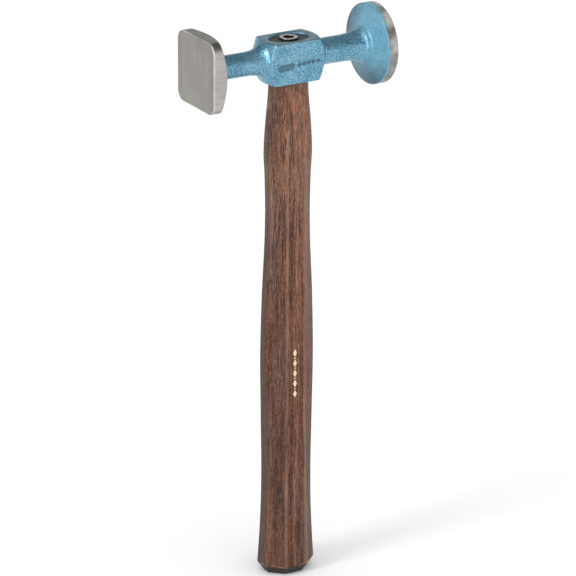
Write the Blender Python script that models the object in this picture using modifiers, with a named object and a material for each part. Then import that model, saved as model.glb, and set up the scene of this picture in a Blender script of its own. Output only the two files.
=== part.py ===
"""Panel-beating (planishing) hammer: a forged steel head on an octagonal hickory handle,
held by a ring wedge driven into the end grain.

Metres, +Z up. The handle stands along Z with its butt on the origin. The head lies along X
with its square face at -X and its round face at +X.
"""

import math

import bmesh
import bpy
from mathutils import Matrix, Vector

MM = 0.001

# ---------------------------------------------------------------- driving dimensions
AXIS_Z = 308.2 * MM             # height of the head's axis over the butt
SQUARE_REACH = 58.5 * MM        # handle axis to the square face
ROUND_REACH = 57.3 * MM         # handle axis to the round face
BLOCK_ABOVE = 11.4 * MM         # head axis to the eye block's top plane
BLOCK_BELOW = 12.7 * MM         # head axis to the eye block's bottom plane
BLOCK_DEPTH = 22.1 * MM         # eye block, across the handle
GAP = 0.3 * MM                  # clearance between pieces that touch

SQUARE_SIDE = 40.4 * MM
SQUARE_CORNER_RADIUS = 6.0 * MM
SQUARE_EDGE_THICKNESS = 8.5 * MM    # at the middle of a side
SQUARE_BACK_SLOPE = 0.46            # axial fall per unit of radius, outside the side's middle
SQUARE_RIM_CHAMFER = 0.45 * MM
SQUARE_NECK_RADIUS = 6.7 * MM

ROUND_RADIUS = 23.0 * MM
ROUND_LAND = 6.1 * MM               # cylindrical rim behind the round face
ROUND_EDGE = 0.5 * MM
ROUND_NECK_RADIUS = 7.5 * MM
COLLAR_RADIUS = 10.3 * MM

BLOCK_CORNER_X = 13.9 * MM          # where the end cone cuts the block's long edges
BLOCK_CONE_SLOPE = 0.58             # axial rise of the end cone per unit of radius
BLOCK_EDGE_RADIUS = 0.9 * MM
LIP_RADIUS = 10.4 * MM              # where the square end's neck flare meets the end cone

EYE_HALF_LENGTH = 12.1 * MM         # oval eye, along X
EYE_HALF_WIDTH = 8.3 * MM           # oval eye, along Y
EYE_WAIST = 0.25 * MM               # how far the eye narrows at mid height
EYE_RIM_CHAMFER = 0.6 * MM

HEAD_TOP = AXIS_Z + BLOCK_ABOVE
SHOULDER = AXIS_Z - BLOCK_BELOW     # underside of the block, where the handle enters it
EYE_MIDDLE = (HEAD_TOP + SHOULDER) / 2
EYE_HALF_HEIGHT = (HEAD_TOP - SHOULDER) / 2
WOOD_TOP = HEAD_TOP - 0.8 * MM
BUTT_CHAMFER_HEIGHT = 5.4 * MM
BUTT_CHAMFER_INSET = 3.6 * MM

RING_TOP = HEAD_TOP + 0.3 * MM
RING_LENGTH = 16.0 * MM
RING_OUTER_TOP = 5.2 * MM
RING_OUTER_TIP = 4.2 * MM
RING_BORE = 2.95 * MM
RING_EDGE_WALL = 0.25 * MM          # wall left at the wedge's cutting edge
RING_BARBS = 3
RING_BARB_STEP = 0.25 * MM
CORE_RECESS = 1.5 * MM              # wood inside the ring, below the wood's end

TURNED_STEPS = 64
RING_STEPS = 40
POINTS_PER_FACET = 6

# Handle sections from the butt to the eye:
# height, half width (X), half depth (Y), half length of the X facets, half length of the Y facets
HANDLE_STATIONS = [
    (0.0054, 0.0164, 0.0131, 0.0044, 0.0067),
    (0.0240, 0.0153, 0.0124, 0.0040, 0.0064),
    (0.0430, 0.0146, 0.0118, 0.0037, 0.0062),
    (0.0660, 0.0145, 0.0113, 0.0035, 0.0060),
    (0.1000, 0.0151, 0.0108, 0.0034, 0.0060),
    (0.1330, 0.0156, 0.0105, 0.0033, 0.0060),
    (0.1680, 0.0148, 0.0103, 0.0032, 0.0058),
    (0.2010, 0.0133, 0.0099, 0.0030, 0.0055),
    (0.2200, 0.0130, 0.0099, 0.0029, 0.0054),
    (0.2400, 0.0136, 0.0101, 0.0030, 0.0055),
    (0.2540, 0.0145, 0.0101, 0.0031, 0.0056),
    (0.2700, 0.0137, 0.0095, 0.0030, 0.0054),
    (0.2850, 0.0123, 0.0087, 0.0028, 0.0050),
    (0.2955, 0.0118, 0.0082, 0.0027, 0.0048),
]
OVAL_ABOVE = 0.266                  # fully oval from here up
FACETED_BELOW = 0.212               # fully octagonal from here down


# ---------------------------------------------------------------- scene and materials
def clear_scene():
    """Removes every object so that the model starts from nothing."""
    for item in list(bpy.data.objects):
        bpy.data.objects.remove(item, do_unlink=True)


def new_collection(name):
    collection = bpy.data.collections.new(name)
    bpy.context.scene.collection.children.link(collection)
    return collection


def principled(name, color, roughness, metallic):
    """A plain Principled material."""
    material = bpy.data.materials.new(name)
    material.use_nodes = True
    shader = material.node_tree.nodes["Principled BSDF"]
    shader.inputs["Base Color"].default_value = (*color, 1.0)
    shader.inputs["Roughness"].default_value = roughness
    shader.inputs["Metallic"].default_value = metallic
    material.diffuse_color = (*color, 1.0)
    return material


def add_object(name, mesh, collection):
    item = bpy.data.objects.new(name, mesh)
    collection.objects.link(item)
    return item


def mark_as_cutter(item):
    item.hide_render = True
    item.display_type = "WIRE"


# ---------------------------------------------------------------- outline helpers
def arc(start, end, bulge, steps):
    """Points from start to end on a parabola-like arc; bulge moves its middle to the left of
    the way from start to end. The start point is left out."""
    begin, finish = Vector(start), Vector(end)
    across = (finish - begin).orthogonal().normalized()
    points = []
    for index in range(1, steps + 1):
        t = index / steps
        points.append(tuple(begin.lerp(finish, t) + across * (4 * bulge * t * (1 - t))))
    return points


def turned(name, profile, collection, steps=TURNED_STEPS):
    """A solid of revolution about local Z. The profile is (radius, height) from top to bottom."""
    mesh = bpy.data.meshes.new(name)
    vertices = [(radius, 0.0, height) for radius, height in profile]
    edges = [(index, index + 1) for index in range(len(profile) - 1)]
    mesh.from_pydata(vertices, edges, [])
    item = add_object(name, mesh, collection)
    screw = item.modifiers.new("Turn", "SCREW")
    screw.steps = steps
    screw.render_steps = steps
    screw.use_merge_vertices = True
    screw.merge_threshold = 0.00001
    screw.use_smooth_shade = False
    return item


def lay_along_x(item):
    """Turns an object made about local Z so that its top faces +X, on the head's axis."""
    item.rotation_euler = (0.0, math.radians(90.0), 0.0)
    item.location = (0.0, 0.0, AXIS_Z)


def boolean(target, cutter, operation):
    modifier = target.modifiers.new(f"{operation.title()} {cutter.name}", "BOOLEAN")
    modifier.operation = operation
    modifier.solver = "EXACT"
    modifier.object = cutter


# ---------------------------------------------------------------- hammer head
def bar_profile():
    """The turned bar: round face, its neck, the core through the block, the square end's neck."""
    round_back = ROUND_REACH - ROUND_LAND
    top_side = [
        (0.0, ROUND_REACH),
        (ROUND_RADIUS - ROUND_EDGE, ROUND_REACH),
        (ROUND_RADIUS, ROUND_REACH - ROUND_EDGE),
        (ROUND_RADIUS, round_back),
        (ROUND_RADIUS - ROUND_EDGE, round_back - ROUND_EDGE),
        (COLLAR_RADIUS + 0.9 * MM, round_back - 2.8 * MM),
        (COLLAR_RADIUS, round_back - 3.6 * MM),
        (COLLAR_RADIUS - 0.3 * MM, round_back - 4.9 * MM),
    ]
    flare_start = (COLLAR_RADIUS - 1.1 * MM, round_back - 5.6 * MM)
    round_flare = arc(flare_start, (ROUND_NECK_RADIUS, 36.0 * MM), -0.45 * MM, 6)
    core = [
        (ROUND_NECK_RADIUS, 10.0 * MM),
        (LIP_RADIUS - 1.0 * MM, 8.0 * MM),
        (LIP_RADIUS - 1.0 * MM, -12.0 * MM),
        (LIP_RADIUS, -14.0 * MM),
        (LIP_RADIUS, -17.6 * MM),
    ]
    square_flare = arc((LIP_RADIUS, -17.6 * MM), (SQUARE_NECK_RADIUS, -27.0 * MM), -1.4 * MM, 8)
    square_root = [
        (SQUARE_NECK_RADIUS, -41.5 * MM),
        (SQUARE_NECK_RADIUS, -53.0 * MM),
        (0.0, -53.0 * MM),
    ]
    return top_side + [flare_start] + round_flare + core + square_flare + square_root


def square_plate_profile():
    """A slug with the plate's coned back and the root of its neck, wider than the plate."""
    side_middle = SQUARE_SIDE / 2
    rim_height = -SQUARE_REACH + SQUARE_EDGE_THICKNESS
    outer = 30.0 * MM
    inner_radius = SQUARE_NECK_RADIUS + 3.0 * MM
    inner_height = rim_height + 0.45 * (side_middle - inner_radius)
    root = arc((SQUARE_NECK_RADIUS - 0.5 * MM, -41.0 * MM), (inner_radius, inner_height), 0.7 * MM, 6)
    return [
        (0.0, -41.0 * MM),
        (SQUARE_NECK_RADIUS - 0.5 * MM, -41.0 * MM),
        *root,
        (side_middle, rim_height),
        (outer, rim_height - SQUARE_BACK_SLOPE * (outer - side_middle)),
        (outer, -SQUARE_REACH - 2.0 * MM),
        (0.0, -SQUARE_REACH - 2.0 * MM),
    ]


def block_profile():
    """Two cones back to back with a short barrel between; the block's faces are cut from it."""
    corner = 16.2 * MM
    barrel = 17.6 * MM
    tip = LIP_RADIUS - 2.5 * MM
    barrel_x = BLOCK_CORNER_X - BLOCK_CONE_SLOPE * (barrel - corner)
    tip_x = BLOCK_CORNER_X + BLOCK_CONE_SLOPE * (corner - tip)
    return [(0.0, tip_x), (tip, tip_x), (barrel, barrel_x), (barrel, -barrel_x), (tip, -tip_x),
            (0.0, -tip_x)]


def bevel_edges(mesh_data, chosen, offset, segments):
    bmesh.ops.bevel(mesh_data, geom=chosen, offset=offset, segments=segments, profile=0.5,
                    affect="EDGES", clamp_overlap=True)


def runs_along(edge, axis):
    direction = edge.verts[1].co - edge.verts[0].co
    return abs(direction[axis]) > 0.9 * direction.length


def prism(name, size, center, corner_radius, segments, rim_chamfer, collection):
    """A box along X with its long edges rounded and, if asked, its -X rim chamfered."""
    shape = bmesh.new()
    bmesh.ops.create_cube(shape, size=1.0, matrix=Matrix.Diagonal((*size, 1.0)))
    long_edges = [edge for edge in shape.edges if runs_along(edge, 0)]
    bevel_edges(shape, long_edges, corner_radius, segments)
    if rim_chamfer > 0.0:
        front = -size[0] / 2 + 1e-6
        rim = [edge for edge in shape.edges if all(vert.co.x < front for vert in edge.verts)]
        bevel_edges(shape, rim, rim_chamfer, 1)
    mesh = bpy.data.meshes.new(name)
    shape.to_mesh(mesh)
    shape.free()
    item = add_object(name, mesh, collection)
    item.location = center
    mark_as_cutter(item)
    return item


def eye_half(base, height):
    """Half size of the eye at a height: an hourglass with its waist at mid height."""
    offset = (height - EYE_MIDDLE) / EYE_HALF_HEIGHT
    return base - EYE_WAIST * (1.0 - min(1.0, offset * offset))


def eye_cutter(collection):
    """The oval eye, turned round and then narrowed across the handle."""
    half = EYE_HALF_HEIGHT
    over = 2.0 * MM
    wide = EYE_HALF_LENGTH + EYE_RIM_CHAMFER + over
    profile = [(0.0, half + over), (wide, half + over), (EYE_HALF_LENGTH, half - EYE_RIM_CHAMFER)]
    for fraction in (0.5, 0.0, -0.5):
        height = fraction * half
        profile.append((eye_half(EYE_HALF_LENGTH, EYE_MIDDLE + height), height))
    profile += [(EYE_HALF_LENGTH, -half + EYE_RIM_CHAMFER), (wide, -half - over), (0.0, -half - over)]
    item = turned("eye_cutter", profile, collection)
    item.location = (0.0, 0.0, EYE_MIDDLE)
    item.scale = (1.0, EYE_HALF_WIDTH / EYE_HALF_LENGTH, 1.0)
    mark_as_cutter(item)
    return item


def make_head(parts, cutters):
    head = turned("hammer_head", bar_profile(), parts)
    lay_along_x(head)

    block = turned("eye_block_slug", block_profile(), cutters)
    lay_along_x(block)
    mark_as_cutter(block)
    block_box = prism("eye_block_box", (80.0 * MM, BLOCK_DEPTH, BLOCK_ABOVE + BLOCK_BELOW),
                      (0.0, 0.0, EYE_MIDDLE), BLOCK_EDGE_RADIUS, 2, 0.0, cutters)
    boolean(block, block_box, "INTERSECT")

    plate = turned("square_plate_slug", square_plate_profile(), cutters)
    lay_along_x(plate)
    mark_as_cutter(plate)
    plate_length = 30.0 * MM
    plate_box = prism("square_plate_box", (plate_length, SQUARE_SIDE, SQUARE_SIDE),
                      (-SQUARE_REACH + plate_length / 2, 0.0, AXIS_Z),
                      SQUARE_CORNER_RADIUS, 6, SQUARE_RIM_CHAMFER, cutters)
    boolean(plate, plate_box, "INTERSECT")

    boolean(head, block, "UNION")
    boolean(head, plate, "UNION")
    boolean(head, eye_cutter(cutters), "DIFFERENCE")
    head.data.materials.append(principled("blue_hammertone_paint", (0.16, 0.42, 0.60), 0.35, 0.4))
    return head


# ---------------------------------------------------------------- hickory handle
def smoothstep(low, high, value):
    t = min(1.0, max(0.0, (value - low) / (high - low)))
    return t * t * (3.0 - 2.0 * t)


def section_sizes(height):
    """Section sizes at a height, on a smooth curve through the stations."""
    table = HANDLE_STATIONS
    if height <= table[0][0]:
        return table[0][1:]
    upper = next((index for index, row in enumerate(table) if row[0] >= height), len(table) - 1)
    lower = upper - 1
    before, after = table[max(0, lower - 1)], table[min(len(table) - 1, upper + 1)]
    low, high = table[lower], table[upper]
    span = high[0] - low[0]
    t = min(1.0, (height - low[0]) / span)
    sizes = []
    for column in range(1, 5):
        slope_low = (high[column] - before[column]) / (high[0] - before[0]) * span
        slope_high = (after[column] - low[column]) / (after[0] - low[0]) * span
        sizes.append(
            (2 * t**3 - 3 * t**2 + 1) * low[column] + (t**3 - 2 * t**2 + t) * slope_low
            + (3 * t**2 - 2 * t**3) * high[column] + (t**3 - t**2) * slope_high
        )
    return sizes


def handle_section(height):
    """One ring of points: an octagon low down, an oval near the head, a blend between."""
    if height > SHOULDER - GAP:
        half_x = eye_half(EYE_HALF_LENGTH, height) - GAP
        half_y = eye_half(EYE_HALF_WIDTH, height) - GAP
        facet_y, facet_x = section_sizes(height)[2:]
    else:
        half_x, half_y, facet_y, facet_x = section_sizes(height)
    inset = max(0.0, 1.0 - height / BUTT_CHAMFER_HEIGHT) * BUTT_CHAMFER_INSET
    half_x -= inset
    half_y -= inset
    facet_x -= inset * 0.4
    facet_y -= inset * 0.4
    corners = [(half_x, -facet_y), (half_x, facet_y), (facet_x, half_y), (-facet_x, half_y),
               (-half_x, facet_y), (-half_x, -facet_y), (-facet_x, -half_y), (facet_x, -half_y)]
    roundness = smoothstep(FACETED_BELOW, OVAL_ABOVE, height)
    ring = []
    for index, corner in enumerate(corners):
        begin, finish = Vector(corner), Vector(corners[(index + 1) % 8])
        for step in range(POINTS_PER_FACET):
            flat = begin.lerp(finish, step / POINTS_PER_FACET)
            stretch = math.hypot(flat.x / half_x, flat.y / half_y)
            point = flat.lerp(flat / stretch, roundness)
            ring.append((point.x, point.y, height))
    return ring


def handle_heights():
    """Ring heights: the butt, its chamfer, then even steps up to the end grain."""
    count = 36
    body = [BUTT_CHAMFER_HEIGHT + (SHOULDER - BUTT_CHAMFER_HEIGHT) * index / count
            for index in range(count)]
    tongue_low = SHOULDER - 0.2 * MM
    tongue = [tongue_low + (WOOD_TOP - tongue_low) * index / 6 for index in range(7)]
    return [0.0] + body + tongue


def ring_groove_profile():
    """The space that the ring wedge fills, a gap larger all round, and the sunk core over it."""
    over = RING_TOP + 2.0 * MM
    tip = RING_TOP - RING_LENGTH
    core_top = WOOD_TOP - CORE_RECESS
    core_foot = RING_OUTER_TIP - RING_EDGE_WALL - GAP
    return [
        (0.0, over),
        (RING_OUTER_TOP + RING_BARB_STEP + GAP, over),
        (RING_OUTER_TIP + RING_BARB_STEP + GAP, tip - GAP),
        (core_foot, tip - GAP),
        (RING_BORE - GAP, tip + 3.0 * MM),
        (RING_BORE - GAP, core_top),
        (0.0, core_top),
    ]


def make_handle(parts, cutters):
    rings = [handle_section(height) for height in handle_heights()]
    count = len(rings[0])
    mesh = bpy.data.meshes.new("hickory_handle")
    vertices = [point for ring in rings for point in ring]
    faces = [tuple(reversed(range(count)))]
    for level in range(len(rings) - 1):
        for index in range(count):
            after = (index + 1) % count
            low = level * count
            high = low + count
            faces.append((low + index, low + after, high + after, high + index))
    faces.append(tuple(range((len(rings) - 1) * count, len(rings) * count)))
    mesh.from_pydata(vertices, [], faces)
    handle = add_object("hickory_handle", mesh, parts)
    groove = turned("ring_groove_cutter", ring_groove_profile(), cutters, RING_STEPS)
    mark_as_cutter(groove)
    boolean(handle, groove, "DIFFERENCE")
    handle.data.materials.append(principled("stained_hickory", (0.17, 0.07, 0.04), 0.5, 0.0))
    mesh.shade_smooth()
    mesh.set_sharp_from_angle(angle=math.radians(12.0))
    return handle


# ---------------------------------------------------------------- ring wedge
def ring_wedge_profile():
    """A tapered tube with barbed steps outside and a bore that widens to a cutting edge.
    It runs down the outside and back up the bore."""
    tip = RING_TOP - RING_LENGTH
    chamfer = 0.35 * MM
    profile = [(RING_BORE + chamfer, RING_TOP), (RING_OUTER_TOP - chamfer, RING_TOP),
               (RING_OUTER_TOP, RING_TOP - chamfer)]
    barb_top = RING_TOP - 2.0 * MM
    barb_height = (barb_top - tip - 2.0 * MM) / RING_BARBS
    for index in range(RING_BARBS):
        height = barb_top - index * barb_height
        fraction = (RING_TOP - height) / RING_LENGTH
        radius = RING_OUTER_TOP + (RING_OUTER_TIP - RING_OUTER_TOP) * fraction
        profile.append((radius - RING_BARB_STEP * 0.2, height))
        profile.append((radius + RING_BARB_STEP * 0.6, height - 0.4 * MM))
    profile.append((RING_OUTER_TIP, tip + 0.4 * MM))
    profile.append((RING_OUTER_TIP, tip))
    profile.append((RING_OUTER_TIP - RING_EDGE_WALL, tip))
    profile.append((RING_BORE, tip + 3.0 * MM))
    profile.append((RING_BORE, RING_TOP - chamfer))
    profile.append(profile[0])
    return profile


def make_ring_wedge(parts):
    ring = turned("ring_wedge", ring_wedge_profile(), parts, RING_STEPS)
    ring.data.materials.append(principled("wedge_steel", (0.42, 0.41, 0.40), 0.35, 1.0))
    return ring


def main():
    clear_scene()
    parts = new_collection("panel_beating_hammer")
    cutters = new_collection("cutters")
    make_head(parts, cutters)
    make_handle(parts, cutters)
    make_ring_wedge(parts)


main()
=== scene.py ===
"""The looks of the panel-beating hammer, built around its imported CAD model.

Metres, +Z up. The handle stands along Z with its butt at z = 0, and the head lies along X with
the square face at -X. The head and the handle are star-shaped about their own axes, so each is
one grid of points: rings that share their angles, and a profile with rounded corners at each.
"""

import math

import bmesh
import bpy
import numpy as np
from mathutils import Matrix, Vector


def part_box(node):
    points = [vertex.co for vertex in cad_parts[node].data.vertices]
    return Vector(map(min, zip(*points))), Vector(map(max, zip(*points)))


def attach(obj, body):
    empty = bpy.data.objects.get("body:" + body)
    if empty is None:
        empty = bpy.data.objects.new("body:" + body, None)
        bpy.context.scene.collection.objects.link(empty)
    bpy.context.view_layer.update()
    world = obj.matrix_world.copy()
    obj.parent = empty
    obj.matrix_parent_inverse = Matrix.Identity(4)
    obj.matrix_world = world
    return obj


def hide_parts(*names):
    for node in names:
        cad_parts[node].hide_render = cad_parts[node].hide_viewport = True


MM = 0.001
TINY = 1e-9                         # keeps a division away from zero
SHARP_ANGLE = 32.0                  # degrees; an edge that turns more is shaded sharp

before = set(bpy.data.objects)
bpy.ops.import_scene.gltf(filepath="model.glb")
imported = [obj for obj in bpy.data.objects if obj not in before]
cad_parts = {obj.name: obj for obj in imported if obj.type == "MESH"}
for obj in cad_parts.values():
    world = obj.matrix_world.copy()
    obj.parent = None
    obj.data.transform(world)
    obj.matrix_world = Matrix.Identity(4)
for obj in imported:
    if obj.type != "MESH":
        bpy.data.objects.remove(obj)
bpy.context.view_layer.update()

# ---- sizes read from the frame
HEAD_LOW, HEAD_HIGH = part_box("hammer_head")
HANDLE_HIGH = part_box("hickory_handle")[1]
RING_LOW, RING_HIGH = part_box("ring_wedge")
SQUARE_REACH = -HEAD_LOW.x
ROUND_REACH = HEAD_HIGH.x
AXIS_Z = (HEAD_HIGH.z + HEAD_LOW.z) / 2
ROUND_RADIUS = (HEAD_HIGH.z - HEAD_LOW.z) / 2
WOOD_TOP = HANDLE_HIGH.z
RING_TOP = RING_HIGH.z
RING_LENGTH = RING_HIGH.z - RING_LOW.z
RING_OUTER = (RING_HIGH.x - RING_LOW.x) / 2

# ---- sizes repeated from the design
BLOCK_ABOVE = 11.4 * MM             # head axis to the eye block's top plane
BLOCK_BELOW = 12.7 * MM             # head axis to the eye block's bottom plane
BLOCK_HALF_DEPTH = 11.05 * MM
BLOCK_CORNER_X = 13.9 * MM          # where the end cone cuts the block's long edges
BLOCK_CORNER_REACH = 16.2 * MM      # distance of those edges from the head's axis
BLOCK_CONE_SLOPE = 0.58             # axial rise of the end cone per unit of radius
BLOCK_EDGE_RADIUS = 1.0 * MM
EYE_MIDDLE = AXIS_Z + (BLOCK_ABOVE - BLOCK_BELOW) / 2
EYE_HALF_HEIGHT = (BLOCK_ABOVE + BLOCK_BELOW) / 2
SHOULDER = AXIS_Z - BLOCK_BELOW     # underside of the block, where the handle enters it
LIP_RADIUS = 10.4 * MM              # where the square end's neck flare meets the end cone
SQUARE_HALF = 20.2 * MM
SQUARE_CORNER_RADIUS = 6.0 * MM
SQUARE_EDGE_THICKNESS = 8.5 * MM
SQUARE_BACK_SLOPE = 0.46
SQUARE_INNER_SLOPE = 0.45
SQUARE_NECK_RADIUS = 6.7 * MM
SQUARE_NECK_FILLET = 3.4 * MM
SQUARE_FLARE_START = -27.6 * MM     # along X, where the square end's neck begins to widen
ROUND_LAND = 6.1 * MM
ROUND_NECK_RADIUS = 7.5 * MM
ROUND_FLARE_START = 32.4 * MM
ROUND_FLARE_GAP = 6.0 * MM          # from the end of that neck's flare to the plate's rim
ROUND_FLARE_RADIUS = 9.5 * MM
# Collar behind the round plate: distance behind the plate's rim, radius, corner reach, corner steps
COLLAR = [
    (5.4 * MM, 10.1 * MM, 0.35 * MM, 4),
    (3.9 * MM, 10.5 * MM, 0.6 * MM, 6),
    (3.1 * MM, 11.2 * MM, 0.5 * MM, 4),
]
EYE_HALF_LENGTH = 12.1 * MM
EYE_HALF_WIDTH = 8.3 * MM
EYE_WAIST = 0.25 * MM
EYE_RIM = 0.8 * MM
GAP = 0.3 * MM
RING_BORE = 2.95 * MM
RING_TIP = 4.2 * MM
GROOVE_RADIUS = RING_OUTER + 0.45 * MM
CORE_RADIUS = RING_BORE - GAP
CORE_RECESS = 1.5 * MM
RING_FOOT_HEIGHT = 3.0 * MM         # the wedge's thin foot, where its bore widens
BARB_COUNT = 3
BARB_FIRST = 2.0 * MM               # below the wedge's top
BARB_PITCH = 4.0 * MM
BARB_HEIGHT = 0.4 * MM
BARB_PROUD = 0.15 * MM
BARB_ROOT = 0.05 * MM
BUTT_CHAMFER_HEIGHT = 5.4 * MM
BUTT_CHAMFER_INSET = 3.6 * MM
WOOD_TOP_EDGE = 0.35 * MM           # radius of the wood's top edge in the eye
HAIR = 0.001 * MM                   # keeps a cutter's corner off the face that it cuts

# Handle sections from the butt to the eye:
# height, half width (X), half depth (Y), half length of the X facets, half length of the Y facets
HANDLE_STATIONS = [
    (0.0054, 0.0164, 0.0131, 0.0044, 0.0067),
    (0.0240, 0.0153, 0.0124, 0.0040, 0.0064),
    (0.0430, 0.0146, 0.0118, 0.0037, 0.0062),
    (0.0660, 0.0145, 0.0113, 0.0035, 0.0060),
    (0.1000, 0.0151, 0.0108, 0.0034, 0.0060),
    (0.1330, 0.0156, 0.0105, 0.0033, 0.0060),
    (0.1680, 0.0148, 0.0103, 0.0032, 0.0058),
    (0.2010, 0.0133, 0.0099, 0.0030, 0.0055),
    (0.2200, 0.0130, 0.0099, 0.0029, 0.0054),
    (0.2400, 0.0136, 0.0101, 0.0030, 0.0055),
    (0.2540, 0.0145, 0.0101, 0.0031, 0.0056),
    (0.2700, 0.0137, 0.0095, 0.0030, 0.0054),
    (0.2850, 0.0123, 0.0087, 0.0028, 0.0050),
    (0.2955, 0.0118, 0.0082, 0.0027, 0.0048),
]
OVAL_ABOVE = 0.266                  # fully oval from here up
FACETED_BELOW = 0.212               # fully octagonal from here down
FACET_SHARPNESS = 70.0              # larger means a tighter radius on the facet edges
FACET_EDGE_ANGLE = 61.3             # degrees from X to the edges of the front and back facets

# Marks on the block's front: a shallow capsule and a row of round dimples, on a slightly tilted line
MARK_TILT = 4.0                     # degrees
CAPSULE_X = -7.6 * MM
CAPSULE_Z = -2.2 * MM
CAPSULE_HALF_LENGTH = 3.5 * MM
CAPSULE_RADIUS = 1.9 * MM
CAPSULE_DEPTH = 0.3 * MM
DIMPLE_X = [0.5 * MM, 3.5 * MM, 6.5 * MM, 9.5 * MM, 12.5 * MM]
DIMPLE_RADIUS = 1.2 * MM
DIMPLE_DEPTH = 0.45 * MM

# The disc's mask also carries the disc's painted light and painted shade
DISC_START = 43.0 * MM              # the round plate's smoother paint starts here along X
DISC_FULL = 48.0 * MM
# Middle of the rim's scuffed stretch that carries a painted highlight
SCUFF_HIGHLIGHT_ANGLE = 50.0                  # degrees up from the front, on the round end's rim

# Gold ornament on the front facet of the handle: a row of lozenges with small ones between them
ORNAMENT_LOW = 0.1096
ORNAMENT_HIGH = 0.1387
ORNAMENT_X = -0.65 * MM
LOZENGE_COUNT = 5
LOZENGE_HALF_LENGTH = 2.2 * MM
LOZENGE_HALF_WIDTH = 1.2 * MM
SMALL_LOZENGE = 0.55 * MM           # half length and half width
LOZENGE_TIP = 0.03 * MM             # half width at its ends
ORNAMENT_PROUD = 0.03 * MM
ORNAMENT_SUNK = 0.05 * MM

# ---- camera
CAMERA_AZIMUTH = -30.58
CAMERA_ELEVATION = 20.70
CAMERA_ROLL = 0.36
CAMERA_DISTANCE = 2.1481
CAMERA_AIM = Vector((0.0005, -0.0003, 0.17217))
CAMERA_LENS = 238.46
CAMERA_SENSOR = 36.0
CAMERA_CLIP_END = 100.0

# ---- studio
FLOOR_REACH = 30.0
SKY_BY_HEIGHT = [(0.0, 1.0), (0.2, 0.92), (0.4, 0.50), (0.6, 0.20), (0.8, 0.10)]
SKY_AROUND = 0.85
SKY_TO_RIGHT = 0.15                 # more light from +X
SKY_TO_FRONT = 0.18                 # more light from -Y
SKY_STRENGTH = 1.05


# ---- grids
def rounded_profile(corners):
    """Points of an outline with its corners rounded.

    A corner is (x, r, reach, steps): x and r may be arrays over the angles, and the corner is
    replaced by a parabola that starts and ends at most reach away from it."""
    count = max(np.size(corner[1]) for corner in corners)
    places = np.array([
        [np.broadcast_to(corner[0], count), np.broadcast_to(corner[1], count)]
        for corner in corners
    ], float)
    points = [places[0]]
    for index in range(1, len(corners) - 1):
        reach, steps = corners[index][2:]
        here = places[index]
        if reach == 0.0:
            points.append(here)
            continue
        arms = []
        for other in (places[index - 1], places[index + 1]):
            length = np.maximum(np.hypot(*(other - here)), TINY)
            arms.append((other - here) / length * np.minimum(reach, 0.45 * length))
        for step in range(steps + 1):
            t = step / steps
            points.append(here + arms[0] * (1 - t) ** 2 + arms[1] * t**2)
    points.append(places[-1])
    return np.array(points)


def grid_mesh(name, rings, first_point, last_point):
    """A mesh from rings of points (ring, angle, xyz), closed by a point at each end."""
    ring_count, angle_count = rings.shape[:2]
    vertices = np.concatenate([rings.reshape(-1, 3), [first_point], [last_point]])
    first, last = ring_count * angle_count, ring_count * angle_count + 1
    index = np.arange(angle_count)
    after = (index + 1) % angle_count
    faces = [(first, a, b) for a, b in zip(after.tolist(), index.tolist())]
    for ring in range(ring_count - 1):
        low, high = ring * angle_count, (ring + 1) * angle_count
        quads = np.stack([low + index, low + after, high + after, high + index], axis=1)
        faces += [tuple(quad) for quad in quads.tolist()]
    high = (ring_count - 1) * angle_count
    faces += [(last, high + a, high + b) for a, b in zip(index.tolist(), after.tolist())]
    mesh = bpy.data.meshes.new(name)
    mesh.from_pydata(vertices.tolist(), [], faces)
    return mesh


def level_ring(angles, reach_x, reach_y, height):
    """Points about the Z axis at one height, with a reach along X and one along Y."""
    return np.stack([reach_x * np.cos(angles), reach_y * np.sin(angles),
                     np.full_like(angles, height)], axis=1)


def add_piece(name, mesh, *materials):
    item = bpy.data.objects.new(name, mesh)
    bpy.context.scene.collection.objects.link(item)
    for material in materials:
        mesh.materials.append(material)
    return item


def finish_shading(mesh):
    mesh.shade_smooth()
    mesh.set_sharp_from_angle(angle=math.radians(SHARP_ANGLE))


def cut(item, cutter):
    """Subtracts cutter from item, applies the result and removes the cutter."""
    modifier = item.modifiers.new("Cut", "BOOLEAN")
    modifier.operation = "DIFFERENCE"
    modifier.solver = "EXACT"
    modifier.object = cutter
    depsgraph = bpy.context.evaluated_depsgraph_get()
    mesh = bpy.data.meshes.new_from_object(item.evaluated_get(depsgraph))
    item.modifiers.clear()
    item.data = mesh
    bpy.data.objects.remove(cutter, do_unlink=True)


# ---- head
def head_angles():
    """Angles about the head's axis, closer together where the plate and the block have corners."""
    corner, half_window = 45.0, 9.5
    sparse, dense = 30, 44
    angles = []
    for quarter in range(4):
        start = quarter * 90.0
        before, after = start + corner - half_window, start + corner + half_window
        for low, high, count in ((start, before, sparse), (before, after, dense),
                                 (after, start + 90.0, sparse)):
            angles += list(np.linspace(low, high, count, endpoint=False))
    return np.radians(angles)


def rectangle_reach(angles, half_y, half_z, corner_radius):
    """Distance from the middle to a rounded rectangle's outline, at each angle."""
    y, z = np.sin(angles), np.cos(angles)
    flat = np.minimum(half_y / np.maximum(abs(y), TINY), half_z / np.maximum(abs(z), TINY))
    center_y, center_z = half_y - corner_radius, half_z - corner_radius
    along = abs(y) * center_y + abs(z) * center_z
    square = along**2 - center_y**2 - center_z**2 + corner_radius**2
    curved = along + np.sqrt(np.maximum(square, 0.0))
    in_corner = (flat * abs(y) > center_y) & (flat * abs(z) > center_z)
    return np.where(in_corner, curved, flat)


def square_back(radius):
    """Where the square plate's back lies along X, at a distance from the head's axis."""
    rim = -SQUARE_REACH + SQUARE_EDGE_THICKNESS
    outside = np.maximum(radius - SQUARE_HALF, 0.0)
    inside = np.maximum(SQUARE_HALF - radius, 0.0)
    return rim - SQUARE_BACK_SLOPE * outside + SQUARE_INNER_SLOPE * inside


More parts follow.
